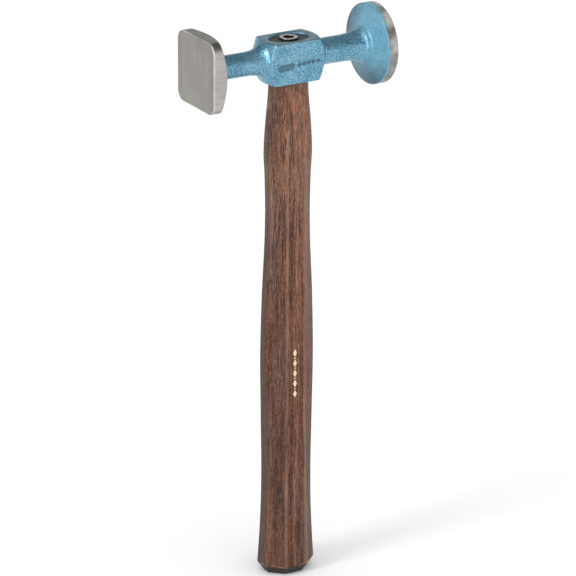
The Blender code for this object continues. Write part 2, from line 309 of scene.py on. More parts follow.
def square_end(angles):
    """Corners from the square face's middle to its neck: the front and sides, then the back."""
    edge = rectangle_reach(angles, SQUARE_HALF, SQUARE_HALF, SQUARE_CORNER_RADIUS)
    front = [(-SQUARE_REACH, 0.0, 0.0, 0), (-SQUARE_REACH, edge * 0.5, 0.0, 0),
             (-SQUARE_REACH, edge, 0.6 * MM, 5), (square_back(edge), edge, 0.4 * MM, 4)]
    inner = SQUARE_NECK_RADIUS + 3.0 * MM
    back = []
    for fraction in (0.2, 0.4, 0.6, 0.8):
        radius = edge + (inner - edge) * fraction
        back.append((square_back(radius), radius, 0.0, 0))
    root = [(square_back(SQUARE_NECK_RADIUS), SQUARE_NECK_RADIUS, SQUARE_NECK_FILLET, 10)]
    return front, back + root


def neck_flare(start_x, start_radius, end_x, end_radius, steps, power):
    """A trumpet: it leaves the neck along it and steepens towards its end."""
    points = []
    for step in range(steps + 1):
        t = step / steps
        rise = 1.0 - (1.0 - t**power) ** (1.0 / power)
        radius = start_radius + (end_radius - start_radius) * rise
        points.append((start_x + (end_x - start_x) * t, radius, 0.0, 0))
    return points


def eye_block(angles):
    """Corners from the lip on the square side to the root of the round end's neck."""
    upper = rectangle_reach(angles, BLOCK_HALF_DEPTH, BLOCK_ABOVE, BLOCK_EDGE_RADIUS)
    lower = rectangle_reach(angles, BLOCK_HALF_DEPTH, BLOCK_BELOW, BLOCK_EDGE_RADIUS)
    side = np.where(np.cos(angles) > 0.0, upper, lower)
    cone = BLOCK_CORNER_X + BLOCK_CONE_SLOPE * (BLOCK_CORNER_REACH - side)
    lip_x = BLOCK_CORNER_X + BLOCK_CONE_SLOPE * (BLOCK_CORNER_REACH - LIP_RADIUS)
    root_x = BLOCK_CORNER_X + BLOCK_CONE_SLOPE * (BLOCK_CORNER_REACH - ROUND_NECK_RADIUS)
    flare = neck_flare(SQUARE_FLARE_START, SQUARE_NECK_RADIUS, -lip_x - 0.5 * MM, LIP_RADIUS - 0.35 * MM,
                       steps=16, power=1.9)
    lip = [(-lip_x, LIP_RADIUS, 0.5 * MM, 5)]
    body = [(-cone, side, 0.8 * MM, 6)]
    body += [(cone * fraction, side, 0.0, 0) for fraction in (-0.6, -0.3, 0.0, 0.3, 0.6)]
    body += [(cone, side, 0.8 * MM, 6)]
    return flare + lip + body + [(root_x, ROUND_NECK_RADIUS, 1.1 * MM, 6)]


def round_end():
    """Corners from the round end's neck to the middle of its face: the painted ones, then the
    bare ones."""
    back_x = ROUND_REACH - ROUND_LAND
    flare = neck_flare(ROUND_FLARE_START, ROUND_NECK_RADIUS, back_x - ROUND_FLARE_GAP,
                       ROUND_FLARE_RADIUS, steps=14, power=1.7)
    collar = [(back_x - behind, radius, reach, steps) for behind, radius, reach, steps in COLLAR]
    back = [(back_x - 0.9 * MM, ROUND_RADIUS - 2.2 * MM, 0.0, 0)]
    rim = [(back_x - 0.25 * MM, ROUND_RADIUS - 0.05 * MM, 0.35 * MM, 5)]
    land = [(back_x + 0.25 * MM, ROUND_RADIUS, 0.2 * MM, 2)]
    face = [(ROUND_REACH, ROUND_RADIUS, 0.5 * MM, 5), (ROUND_REACH, ROUND_RADIUS * 0.5, 0.0, 0),
            (ROUND_REACH, 0.0, 0.0, 0)]
    return flare + collar + back + rim, land + face


def profile_length(corners):
    """How many points rounded_profile makes of these corners, when none is first or last."""
    return sum(1 if corner[2] == 0.0 else corner[3] + 1 for corner in corners)


def eye_cutter():
    """The oval eye with a rounded rim, as a solid that stands out above and below the block."""
    angles = np.linspace(0.0, 2 * math.pi, 192, endpoint=False)
    over = 2.0 * MM
    rim_steps, wall_steps = 8, 12
    heights, growths = [], []
    for step in range(rim_steps + 1):
        turn = step / rim_steps * math.pi / 2
        heights.append(-EYE_HALF_HEIGHT + EYE_RIM * (1 - math.cos(turn)) - HAIR)
        growths.append(EYE_RIM * (1 - math.sin(turn)))
    for step in range(1, wall_steps):
        heights.append(-EYE_HALF_HEIGHT + EYE_RIM + 2 * (EYE_HALF_HEIGHT - EYE_RIM) * step / wall_steps)
        growths.append(0.0)
    for step in range(rim_steps + 1):
        turn = (rim_steps - step) / rim_steps * math.pi / 2
        heights.append(EYE_HALF_HEIGHT - EYE_RIM * (1 - math.cos(turn)) + HAIR)
        growths.append(EYE_RIM * (1 - math.sin(turn)))
    heights = [-EYE_HALF_HEIGHT - over] + heights + [EYE_HALF_HEIGHT + over]
    growths = [EYE_RIM] + growths + [EYE_RIM]
    rings = []
    for height, growth in zip(heights, growths):
        waist = EYE_WAIST * (1.0 - min(1.0, (height / EYE_HALF_HEIGHT) ** 2))
        half_x = EYE_HALF_LENGTH - waist + growth
        half_y = EYE_HALF_WIDTH - waist + growth
        rings.append(level_ring(angles, half_x, half_y, EYE_MIDDLE + height))
    mesh = grid_mesh("eye_cutter", np.array(rings), (0, 0, EYE_MIDDLE + heights[0]),
                     (0, 0, EYE_MIDDLE + heights[-1]))
    return add_piece("eye_cutter", mesh)


def pressed_mark(x, z, half_length, radius, depth):
    """A capsule that stands into the block's front face, with a rounded rim and floor."""
    angles = np.linspace(0.0, 2 * math.pi, 48, endpoint=False)
    face = -BLOCK_HALF_DEPTH
    rows = [(face - 1.0 * MM, radius + 0.2 * MM), (face - HAIR, radius + 0.2 * MM),
            (face + 0.06 * MM, radius + 0.06 * MM), (face + 0.2 * MM, radius),
            (face + depth - 0.08 * MM, radius - 0.1 * MM), (face + depth, radius - 0.3 * MM)]
    shift = half_length * np.sign(np.round(np.sin(angles), 6))
    tilt = math.radians(MARK_TILT)
    rings = []
    for y, reach in rows:
        along, across = shift + reach * np.sin(angles), reach * np.cos(angles)
        rings.append(np.stack([x + along * math.cos(tilt) - across * math.sin(tilt),
                               np.full_like(angles, y),
                               z + along * math.sin(tilt) + across * math.cos(tilt)], axis=1))
    return grid_mesh("mark", np.array(rings), (x, rows[0][0], z), (x, rows[-1][0], z))


def marks_cutter():
    shell = bmesh.new()
    marks = [(CAPSULE_X, CAPSULE_HALF_LENGTH, CAPSULE_RADIUS, CAPSULE_DEPTH)]
    marks += [(x, 0.0, DIMPLE_RADIUS, DIMPLE_DEPTH) for x in DIMPLE_X]
    for x, half_length, radius, depth in marks:
        z = AXIS_Z + CAPSULE_Z + (x - CAPSULE_X) * math.tan(math.radians(MARK_TILT))
        shell.from_mesh(pressed_mark(x, z, half_length, radius, depth))
    mesh = bpy.data.meshes.new("marks_cutter")
    shell.to_mesh(mesh)
    shell.free()
    return add_piece("marks_cutter", mesh)


def make_head(paint, ground, turned):
    """The head as one grid in three finishes, with the eye and the marks cut into it."""
    angles = head_angles()
    front, back = square_end(angles)
    paint_end, steel_end = round_end()
    corners = front + back + eye_block(angles) + paint_end + steel_end
    profile = rounded_profile(corners)[1:-1]
    x, radius = profile[:, 0], profile[:, 1]
    rings = np.stack([x, radius * np.sin(angles), AXIS_Z + radius * np.cos(angles)], axis=2)
    mesh = grid_mesh("hammer_head_body", rings, (-SQUARE_REACH, 0, AXIS_Z), (ROUND_REACH, 0, AXIS_Z))
    angle_count = len(angles)
    ground_rings = profile_length(front) - 1
    turned_rings = profile_length(steel_end) - 1
    slots = np.zeros(len(mesh.polygons), np.int32)      # 0 paint, 1 ground steel, 2 turned steel
    slots[:ground_rings * angle_count] = 1
    slots[len(slots) - (turned_rings + 1) * angle_count:] = 2
    head = add_piece("hammer_head_body", mesh, paint, ground, turned)
    mesh.polygons.foreach_set("material_index", slots)
    cut(head, eye_cutter())
    cut(head, marks_cutter())
    finish_shading(head.data)
    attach(head, "root")
    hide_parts("hammer_head")


# ---- handle
def smoothstep(low, high, value):
    t = min(1.0, max(0.0, (value - low) / (high - low)))
    return t * t * (3.0 - 2.0 * t)


def section_sizes(height):
    """Section sizes at a height, on a smooth curve through the stations."""
    table = np.array(HANDLE_STATIONS)
    height = min(max(height, table[0, 0]), table[-1, 0])
    upper = max(1, int(np.searchsorted(table[:, 0], height)))
    lower = upper - 1
    before, after = table[max(0, lower - 1)], table[min(len(table) - 1, upper + 1)]
    low, high = table[lower], table[upper]
    span = high[0] - low[0]
    t = (height - low[0]) / span
    slope_low = (high - before) / (high[0] - before[0]) * span
    slope_high = (after - low) / (after[0] - low[0]) * span
    curve = ((2 * t**3 - 3 * t**2 + 1) * low + (t**3 - 2 * t**2 + t) * slope_low
             + (3 * t**2 - 2 * t**3) * high + (t**3 - t**2) * slope_high)
    return curve[1:]


def oval_reach(angles, half_x, half_y):
    return 1.0 / np.hypot(np.cos(angles) / half_x, np.sin(angles) / half_y)


def octagon_reach(angles, sizes, inset):
    """Distance to an octagon with softened edges: a high-power mean of its eight facets."""
    half_x, half_y, facet_y, facet_x = sizes
    slant_x, slant_y = half_y - facet_y, half_x - facet_x
    length = math.hypot(slant_x, slant_y)
    slant_distance = (half_x * slant_x + facet_y * slant_y) / length
    facets = []
    for sign in (1, -1):
        facets.append((sign, 0, half_x))
        facets.append((0, sign, half_y))
        for other in (1, -1):
            facets.append((sign * slant_x / length, other * slant_y / length, slant_distance))
    total = np.zeros_like(angles)
    for normal_x, normal_y, distance in facets:
        facing = np.maximum(normal_x * np.cos(angles) + normal_y * np.sin(angles), 0.0)
        total += (facing / (distance - inset)) ** FACET_SHARPNESS
    return total ** (-1.0 / FACET_SHARPNESS)


def handle_ring(angles, height, inset=0.0):
    """One ring of the handle's outside: octagon, oval, or the blend between."""
    if height > SHOULDER:
        offset = (height - EYE_MIDDLE) / EYE_HALF_HEIGHT
        waist = EYE_WAIST * (1.0 - min(1.0, offset * offset))
        inward = waist + GAP + inset
        return oval_reach(angles, EYE_HALF_LENGTH - inward, EYE_HALF_WIDTH - inward)
    sizes = section_sizes(height)
    roundness = smoothstep(FACETED_BELOW, OVAL_ABOVE, height)
    octagon = octagon_reach(angles, sizes, inset)
    oval = oval_reach(angles, sizes[0] - inset, sizes[1] - inset)
    return octagon + (oval - octagon) * roundness


def make_handle(wood):
    """The handle from its butt up into the eye, with the ring groove in its top."""
    angles = np.linspace(0.0, 2 * math.pi, 320, endpoint=False)
    butt = rounded_profile([
        (0.0, BUTT_CHAMFER_INSET + 8.0 * MM, 0.0, 0),
        (0.0, BUTT_CHAMFER_INSET, 0.5 * MM, 5),
        (BUTT_CHAMFER_HEIGHT, 0.0, 0.9 * MM, 6),
        (BUTT_CHAMFER_HEIGHT + 4.0 * MM, 0.0, 0.0, 0),
    ])[:, :, 0]
    heights = [(height, inset) for height, inset in butt]
    body_low = butt[-1][0]
    body_steps, tongue_steps = 150, 8
    heights += [(body_low + (SHOULDER - body_low) * step / body_steps, 0.0)
                for step in range(1, body_steps)]
    tongue_low = SHOULDER + 0.01 * MM
    tongue_high = WOOD_TOP - WOOD_TOP_EDGE
    heights += [(tongue_low + (tongue_high - tongue_low) * step / tongue_steps, 0.0)
                for step in range(tongue_steps + 1)]
    heights += [(WOOD_TOP - WOOD_TOP_EDGE * (1 - math.sin(turn)), WOOD_TOP_EDGE * (1 - math.cos(turn)))
                for turn in np.linspace(0.2, math.pi / 2, 5)]
    rings = []
    for height, inset in heights:
        reach = handle_ring(angles, height, inset)
        rings.append(level_ring(angles, reach, reach, height))
    rim = handle_ring(angles, WOOD_TOP, WOOD_TOP_EDGE)
    for fraction in (0.25, 0.5, 0.75):
        reach = rim + (GROOVE_RADIUS - rim) * fraction
        rings.append(level_ring(angles, reach, reach, WOOD_TOP))
    groove_floor = RING_TOP - RING_LENGTH - GAP
    core_top = WOOD_TOP - CORE_RECESS
    groove = [(GROOVE_RADIUS, WOOD_TOP), (GROOVE_RADIUS - 0.1 * MM, WOOD_TOP - 0.15 * MM),
              (RING_TIP + 0.55 * MM, groove_floor), (RING_TIP - 0.55 * MM, groove_floor),
              (CORE_RADIUS, groove_floor + RING_FOOT_HEIGHT), (CORE_RADIUS, core_top - 0.2 * MM),
              (CORE_RADIUS - 0.2 * MM, core_top)]
    for radius, height in groove:
        rings.append(level_ring(angles, radius, radius, height))
    mesh = grid_mesh("hickory_handle_wood", np.array(rings), (0, 0, 0), (0, 0, core_top))
    handle = add_piece("hickory_handle_wood", mesh, wood)
    finish_shading(mesh)
    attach(handle, "root")
    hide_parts("hickory_handle")


# ---- ring wedge
def make_ring_wedge(steel):
    """A turned ring: tapered outside with barbs, a bore that widens at its foot, rounded top edges."""
    angles = np.linspace(0.0, 2 * math.pi, 160, endpoint=False)
    foot = RING_TOP - RING_LENGTH
    outline = [(RING_TOP, (RING_OUTER + RING_BORE) / 2, 0.0, 0), (RING_TOP, RING_OUTER, 0.45 * MM, 6)]
    for barb in range(BARB_COUNT):
        height = RING_TOP - BARB_FIRST - barb * BARB_PITCH
        radius = RING_OUTER - (RING_OUTER - RING_TIP) * (RING_TOP - height) / RING_LENGTH
        outline += [(height, radius - BARB_ROOT, 0.0, 0),
                    (height - BARB_HEIGHT, radius + BARB_PROUD, 0.0, 0)]
    outline += [(foot, RING_TIP, 0.1 * MM, 2), (foot, RING_TIP - 0.25 * MM, 0.0, 0),
                (foot + RING_FOOT_HEIGHT, RING_BORE, 0.0, 0), (RING_TOP, RING_BORE, 0.4 * MM, 6),
                (RING_TOP, (RING_OUTER + RING_BORE) / 2, 0.0, 0)]
    profile = rounded_profile(outline)[:-1, :, 0]
    count, turns = len(profile), len(angles)
    vertices, faces = [], []
    for height, radius in profile:
        vertices += [(radius * math.cos(a), radius * math.sin(a), height) for a in angles]
    for ring in range(count):
        for index in range(turns):
            after = (index + 1) % turns
            low, high = ring * turns, (ring + 1) % count * turns
            faces.append((low + index, high + index, high + after, low + after))
    mesh = bpy.data.meshes.new("ring_wedge_steel")
    mesh.from_pydata(vertices, [], faces)
    ring = add_piece("ring_wedge_steel", mesh, steel)
    finish_shading(mesh)
    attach(ring, "root")
    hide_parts("ring_wedge")


# ---- gold ornament
def facet_point(x, height, lift):
    """A point on the handle's front, at x from its middle, lifted off the surface."""
    y = -section_sizes(height)[1]
    for _ in range(4):
        reach = handle_ring(np.array([math.atan2(y, x)]), height)[0]
        y = -math.sqrt(reach * reach - x * x)
    return (x, y - lift, height)


def add_lozenge(shell, middle, half_length, half_width):
    """A thin closed lozenge of gold that follows the facet, with its middle at a height."""
    rows = []
    steps = 12
    for step in range(steps + 1):
        along = 2.0 * step / steps - 1.0
        height = middle + half_length * along
        reach = LOZENGE_TIP + (half_width - LOZENGE_TIP) * (1.0 - abs(along))
        corners = [(-reach, ORNAMENT_PROUD), (reach, ORNAMENT_PROUD), (reach, -ORNAMENT_SUNK),
                   (-reach, -ORNAMENT_SUNK)]
        rows.append([shell.verts.new(facet_point(ORNAMENT_X + x, height, lift)) for x, lift in corners])
    for low, high in zip(rows, rows[1:]):
        for side in range(4):
            after = (side + 1) % 4
            shell.faces.new((low[side], low[after], high[after], high[side]))
    shell.faces.new(rows[0][::-1])
    shell.faces.new(rows[-1])


def make_ornament(gold):
    """Large lozenges at an even pitch, with a small one in each gap."""
    shell = bmesh.new()
    first = ORNAMENT_LOW + LOZENGE_HALF_LENGTH
    pitch = (ORNAMENT_HIGH - LOZENGE_HALF_LENGTH - first) / (LOZENGE_COUNT - 1)
    for index in range(LOZENGE_COUNT):
        add_lozenge(shell, first + pitch * index, LOZENGE_HALF_LENGTH, LOZENGE_HALF_WIDTH)
    for index in range(LOZENGE_COUNT - 1):
        add_lozenge(shell, first + pitch * (index + 0.5), SMALL_LOZENGE, SMALL_LOZENGE)
    bmesh.ops.recalc_face_normals(shell, faces=shell.faces)
    mesh = bpy.data.meshes.new("gold_ornament")
    shell.to_mesh(mesh)
    shell.free()
    ornament = add_piece("gold_ornament", mesh, gold)
    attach(ornament, "root")


# ---- node shorthand
class Nodes:
    """Adds nodes to one tree; a value may be a constant or another node's output."""

    def __init__(self, tree):
        self.tree = tree

    def put(self, socket, value):
        if isinstance(value, bpy.types.NodeSocket):
            self.tree.links.new(value, socket)
        else:
            socket.default_value = value

    def coordinates(self, kind="Object"):
        return self.tree.nodes.new("ShaderNodeTexCoord").outputs[kind]

    def axes(self, vector):
        node = self.tree.nodes.new("ShaderNodeSeparateXYZ")
        self.put(node.inputs[0], vector)
        return node.outputs

    def vector(self, x, y, z):
        node = self.tree.nodes.new("ShaderNodeCombineXYZ")
        for socket, value in zip(node.inputs, (x, y, z)):
            self.put(socket, value)
        return node.outputs[0]

    def scaled(self, vector, scale, shift=(0.0, 0.0, 0.0)):
        node = self.tree.nodes.new("ShaderNodeMapping")
        self.put(node.inputs["Vector"], vector)
        node.inputs["Scale"].default_value = scale
        node.inputs["Location"].default_value = shift
        return node.outputs[0]

    def math(self, operation, first, second=0.0, clamp=False):
        node = self.tree.nodes.new("ShaderNodeMath")
        node.operation = operation
        node.use_clamp = clamp
        self.put(node.inputs[0], first)
        self.put(node.inputs[1], second)
        return node.outputs[0]

    def times(self, first, *others):
        for other in others:
            first = self.math("MULTIPLY", first, other)
        return first

    def plus(self, first, *others):
        for other in others:
            first = self.math("ADD", first, other)
        return first

    def minus(self, first, second):
        return self.math("SUBTRACT", first, second)

    def larger(self, first, second):
        return self.math("MAXIMUM", first, second)

    def unsigned(self, value):
        return self.math("ABSOLUTE", value)

    def weighted(self, *pairs):
        """Sum of values, each times its own weight."""
        return self.plus(*[self.times(value, weight) for value, weight in pairs])

    def radius(self, y, up):
        """Distance from the head's axis, from the two distances across it."""
        return self.math("SQRT", self.plus(self.times(y, y), self.times(up, up)))

    def span(self, value, low, high, to_low=0.0, to_high=1.0):
        """Moves a value from one range to another, held inside it."""
        node = self.tree.nodes.new("ShaderNodeMapRange")
        self.put(node.inputs["Value"], value)
        node.inputs["From Min"].default_value = low
        node.inputs["From Max"].default_value = high
        node.inputs["To Min"].default_value = to_low
        node.inputs["To Max"].default_value = to_high
        return node.outputs[0]

    def noise(self, vector, scale, detail=2.0, roughness=0.5, output="Fac"):
        node = self.tree.nodes.new("ShaderNodeTexNoise")
        self.put(node.inputs["Vector"], vector)
        node.inputs["Scale"].default_value = scale
        node.inputs["Detail"].default_value = detail
        node.inputs["Roughness"].default_value = roughness
        return node.outputs[output]

    def grain(self, vector, squeeze, scale, detail=2.0, roughness=0.5):
        """Noise drawn out along Z: the smaller the squeeze, the longer its marks."""
        return self.noise(self.scaled(vector, (1.0, 1.0, squeeze)), scale, detail, roughness)

    def cells(self, vector, scale):
        """Distance to the nearest of scattered points, and a random value for each point."""
        node = self.tree.nodes.new("ShaderNodeTexVoronoi")
        self.put(node.inputs["Vector"], vector)
        node.inputs["Scale"].default_value = scale
        return node.outputs["Distance"], self.axes(node.outputs["Color"])[0]

    def swayed(self, vector, scale, amount):
        """Shifts a place sideways by a slow noise."""
        node = self.tree.nodes.new("ShaderNodeVectorMath")
        node.operation = "MULTIPLY_ADD"
        self.put(node.inputs[0], self.noise(vector, scale, output="Color"))
        node.inputs[1].default_value = (amount, amount, amount)
        self.put(node.inputs[2], vector)
        return node.outputs[0]

    def ramp(self, value, stops):
        node = self.tree.nodes.new("ShaderNodeValToRGB")
        self.put(node.inputs[0], value)
        elements = node.color_ramp.elements
        while len(elements) < len(stops):
            elements.new(0.5)
        for element, (position, color) in zip(elements, stops):
            element.position = position
            element.color = (*color, 1.0)
        return node.outputs["Color"]

    def mix(self, factor, first, second, blend="MIX"):
        node = self.tree.nodes.new("ShaderNodeMix")
        node.data_type = "RGBA"
        node.blend_type = blend
        self.put(node.inputs["Factor"], factor)
        for socket, value in ((node.inputs["A"], first), (node.inputs["B"], second)):
            self.put(socket, (*value, 1.0) if isinstance(value, tuple) else value)
        return node.outputs["Result"]

    def bump(self, height, distance, strength):
        node = self.tree.nodes.new("ShaderNodeBump")
        self.put(node.inputs["Height"], height)
        node.inputs["Distance"].default_value = distance
        node.inputs["Strength"].default_value = strength
        return node.outputs["Normal"]


# ---- colours (a ramp is position, colour)
PAINT_RAMP = [
    (0.0, (0.038, 0.152, 0.250)),
    (0.35, (0.112, 0.288, 0.408)),
    (0.62, (0.200, 0.405, 0.532)),
    (1.0, (0.350, 0.560, 0.665)),
]
# Painted light and painted shade for the disc
DISC_LIT_BLUE = (0.205, 0.490, 0.640)
DISC_PAINTED_SHADE = (0.022, 0.050, 0.080)
BLOCK_TOP_GREY = (0.17, 0.18, 0.175)
# Wear and painted highlight on the block's edges
WORN_HIGHLIGHT_BLUE = (0.36, 0.56, 0.65)
MARK_DARK = (0.060, 0.095, 0.125)
LAP_DARK = (0.10, 0.27, 0.38)
LAP_LIGHT = (0.22, 0.44, 0.56)

GROUND_FACE_RAMP = [
    (0.0, (0.224, 0.217, 0.200)),
    (0.5, (0.290, 0.279, 0.256)),
    (1.0, (0.368, 0.354, 0.327)),
]
GROUND_SIDE_RAMP = [
    (0.0, (0.32, 0.305, 0.292)),
    (0.5, (0.440, 0.422, 0.410)),
    (1.0, (0.56, 0.540, 0.525)),
]
GROUND_EDGE_WEAR_AND_HIGHLIGHT = (0.70, 0.68, 0.63)
TURNED_RAMP = [(0.0, (0.22, 0.213, 0.203)), (0.5, (0.42, 0.408, 0.39)), (1.0, (0.62, 0.605, 0.58))]
TURNED_STAIN = (0.20, 0.175, 0.15)
# Painted shade for the rim's underside
TURNED_UNDERSIDE_SHADE = (0.110, 0.115, 0.115)
# Painted highlight on the rim, as a scuffed matt stretch
TURNED_SCUFF_HIGHLIGHT = (0.46, 0.45, 0.415)
TARNISH = (0.27, 0.185, 0.115)
WEDGE_RAMP = [(0.0, (0.05, 0.052, 0.05)), (0.55, (0.20, 0.20, 0.19)), (0.9, (0.72, 0.70, 0.66))]
GOLD_RAMP = [(0.3, (0.42, 0.30, 0.16)), (0.45, (0.80, 0.68, 0.44)), (0.7, (0.93, 0.85, 0.62))]

WOOD_RAMP = [
    (0.0, (0.024, 0.010, 0.006)),
    (0.28, (0.074, 0.027, 0.015)),
    (0.52, (0.128, 0.050, 0.027)),
    (0.76, (0.180, 0.083, 0.050)),
    (1.0, (0.300, 0.168, 0.112)),
]
WOOD_WARM = (0.270, 0.130, 0.072)
WOOD_GREY = (0.118, 0.079, 0.068)
WOOD_PALE = (0.330, 0.205, 0.135)
PORE_DARK = (0.016, 0.009, 0.007)
LINE_DARK = (0.028, 0.013, 0.009)
SPECK_DARK = (0.034, 0.018, 0.013)
SPECK_LIGHT = (0.31, 0.180, 0.135)
FLECK_LIGHT = (0.25, 0.150, 0.108)
FLECK_DARK = (0.036, 0.018, 0.013)
# Multiplies the wood's colour, from the butt up
HEIGHT_TINT = [(0.0, (0.98, 0.93, 0.93)), (0.6, (1.27, 1.21, 1.18)), (1.0, (1.72, 1.74, 1.74))]
# Rubbing and painted highlight on the facet edges
WOOD_RUB_HIGHLIGHT = (0.280, 0.175, 0.132)
# Painted shade for the handle's sides
WOOD_SIDE_SHADE = (0.045, 0.034, 0.029)
WOOD_CHIPPED = (0.30, 0.19, 0.11)
BUTT_RAMP = [(0.35, (0.012, 0.012, 0.011)), (0.65, (0.048, 0.043, 0.037))]
END_GRAIN_RAMP = [(0.35, (0.018, 0.020, 0.018)), (0.7, (0.065, 0.067, 0.062))]
FLOOR_COLOR = (0.93, 0.93, 0.93)


# ---- materials
def new_material(name, metallic=0.0):
    material = bpy.data.materials.new(name)
    material.use_nodes = True
    shader = material.node_tree.nodes["Principled BSDF"]
    shader.inputs["Metallic"].default_value = metallic
    return material, shader, Nodes(material.node_tree)


def blue_hammertone():
    """Blue hammer-finish paint: small silvery islands, dark veins between them, slightly dimpled.
    It is smoother on the disc, where a lighter blue is painted light, and darker on the disc's far
    side, underside and far rim by painted shade. It is greyer on the block's top, dark in the
    pressed marks, and lighter along the block's edges by wear and a painted highlight."""
    material, shader, n = new_material("blue_hammertone")
    place = n.coordinates()
    x, y, z = n.axes(place)
    up = n.minus(z, AXIS_Z)
    across, along = n.unsigned(y), n.unsigned(x)
    radius = n.radius(y, up)
    distance, random = n.cells(n.swayed(place, 1300.0, 0.0008), 1250.0)
    island = n.span(distance, 0.15, 0.75, 1.0, 0.0)
    speck = n.noise(place, 2300.0, 3.0, 0.65)
    patch = n.noise(place, 110.0, 3.0)
    tone = n.weighted((island, 0.30), (speck, 0.85), (random, 0.12), (patch, 0.30))
    color = n.ramp(n.span(tone, 0.50, 1.05), PAINT_RAMP)

    # The disc: a lighter blue that is painted light, and painted shade on its far side, underside and far
    # rim
    disc = n.span(x, DISC_START, DISC_FULL)
    color = n.mix(n.times(disc, 0.45), color, DISC_LIT_BLUE)
    far = n.span(y, 1.0 * MM, 19.0 * MM, 0.0, 0.85)
    below = n.span(up, -4.0 * MM, -20.0 * MM, 0.0, 0.72)
    disc_painted_shade = n.math("ADD", n.larger(far, below), n.span(patch, 0.3, 0.7, -0.15, 0.2), clamp=True)
    # Painted shade on the disc's far rim
    rim = n.times(n.span(radius, 19.5 * MM, 22.8 * MM, 0.0, 0.9), n.span(y, -4.0 * MM, 14.0 * MM))
    color = n.mix(n.times(disc, n.larger(disc_painted_shade, rim)), color, DISC_PAINTED_SHADE)

    # The eye block's top, and its edges, lighter by wear and a painted highlight
    on_block = n.span(along, 17.0 * MM, 18.0 * MM, 1.0, 0.0)
    greyed = n.times(n.span(up, BLOCK_ABOVE - 0.7 * MM, BLOCK_ABOVE, 0.0, 0.6), n.span(speck, 0.35, 0.65))
    color = n.mix(n.times(greyed, on_block), color, BLOCK_TOP_GREY)
    on_side = n.span(across, BLOCK_HALF_DEPTH - 1.0 * MM, BLOCK_HALF_DEPTH - 0.4 * MM)
    on_top = n.span(up, BLOCK_ABOVE - 1.0 * MM, BLOCK_ABOVE - 0.4 * MM)
    cone_tip = BLOCK_CORNER_X + BLOCK_CONE_SLOPE * BLOCK_CORNER_REACH
    cone_x = n.plus(n.times(radius, -BLOCK_CONE_SLOPE), cone_tip)
    at_cone = n.span(n.minus(along, cone_x), -0.9 * MM, -0.3 * MM)
    end_edge_highlight = n.times(n.larger(on_side, on_top), at_cone, 0.35)
    edge = n.times(n.larger(n.times(on_side, on_top), end_edge_highlight), on_block)
    color = n.mix(n.times(edge, n.span(patch, 0.35, 0.65, 0.2, 0.7)), color, WORN_HIGHLIGHT_BLUE)

    # The pressed marks
    slope = math.tan(math.radians(MARK_TILT))
    mark_z = n.plus(n.times(n.minus(x, CAPSULE_X), slope), AXIS_Z + CAPSULE_Z)
    near = n.times(n.span(n.unsigned(n.minus(z, mark_z)), 2.6 * MM, 2.4 * MM),
                   n.span(along, 15.0 * MM, 15.2 * MM, 1.0, 0.0))
    face = -BLOCK_HALF_DEPTH
    sunk = n.times(n.span(y, face + 0.04 * MM, face + 0.22 * MM),
                   n.span(y, face + 0.9 * MM, face + 0.8 * MM))
    color = n.mix(n.times(near, sunk, 0.66), color, MARK_DARK)

    n.put(shader.inputs["Base Color"], color)
    n.put(shader.inputs["Metallic"], n.span(disc, 0.0, 1.0, 0.76, 0.30))
    n.put(shader.inputs["Roughness"], n.span(speck, 0.3, 0.7, 0.42, 0.30))
    shader.inputs["Specular IOR Level"].default_value = 0.12
    shader.inputs["Coat Weight"].default_value = 0.10
    shader.inputs["Coat Roughness"].default_value = 0.12
    n.put(shader.inputs["Normal"], n.bump(n.plus(island, n.times(speck, 0.6)), 0.03 * MM, 0.3))
    return material


def ground_steel():
    """Ground plate: fine lines up the front face, lines along X on its sides, light edges by wear and a
    painted highlight.
    """
    material, shader, n = new_material("ground_steel")
    place = n.coordinates()
    x = n.axes(place)[0]
    face = -SQUARE_REACH
    front = n.span(x, face + 0.05 * MM, face + 0.15 * MM, 1.0, 0.0)
    edge = n.times(n.span(x, face + 0.03 * MM, face + 0.12 * MM),
                   n.span(x, face + 0.6 * MM, face + 1.0 * MM, 1.0, 0.0))
    upright = n.grain(place, 0.02, 2600.0, 3.0, 0.65)
    upright_wide = n.grain(place, 0.05, 420.0)
    lengthwise = n.noise(n.scaled(place, (0.03, 1.0, 1.0)), 2200.0, 3.0, 0.65)
    cloud = n.noise(place, 90.0, 3.0)
    lines = n.mix(front, lengthwise, n.weighted((upright, 0.7), (upright_wide, 0.3)))
    shade = n.span(n.weighted((lines, 0.75), (cloud, 0.25)), 0.3, 0.7)
    color = n.mix(front, n.ramp(shade, GROUND_SIDE_RAMP), n.ramp(shade, GROUND_FACE_RAMP))
    # Light band behind the face's rim: wear and a painted highlight
    edge = n.times(edge, n.span(cloud, 0.35, 0.65, 0.45, 1.0))
    n.put(shader.inputs["Base Color"], n.mix(n.times(edge, 0.85), color, GROUND_EDGE_WEAR_AND_HIGHLIGHT))
    n.put(shader.inputs["Metallic"], n.span(edge, 0.0, 1.0, 1.0, 0.45))
    n.put(shader.inputs["Roughness"], n.span(lines, 0.3, 0.7, 0.46, 0.32))
    n.put(shader.inputs["Normal"], n.bump(lines, 0.012 * MM, 0.4))
    return material


